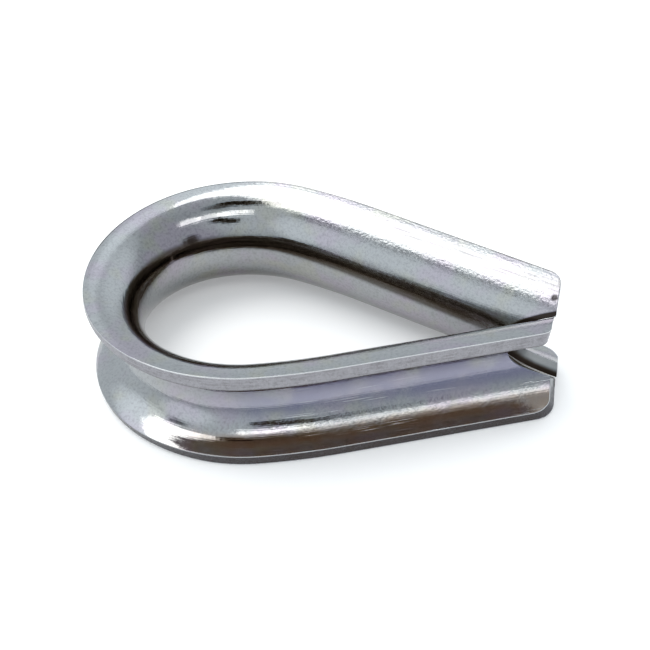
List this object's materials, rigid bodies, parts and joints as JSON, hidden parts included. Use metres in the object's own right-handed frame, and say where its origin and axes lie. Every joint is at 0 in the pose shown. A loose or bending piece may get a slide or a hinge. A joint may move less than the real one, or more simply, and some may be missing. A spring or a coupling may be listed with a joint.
{
  "type": "wire rope thimble",
  "caption": "Teardrop thimble eye: a pressed steel channel, grooved outside for wire rope, with an open mitred tip.",
  "frame": {"origin": "centre of the bounding box at its base, on the plane of the lower flange lands", "axes": "+X from the round crown to the open tip, +Y across the eye, +Z across the channel"},
  "size_m": [0.0902, 0.057, 0.0225],
  "materials": {
    "bright_zinc": "bright zinc plating, satin to mirror-bright"
  },
  "bodies": {
    "root": {"thimble_channel": "bright_zinc"}
  },
  "joints": []
}
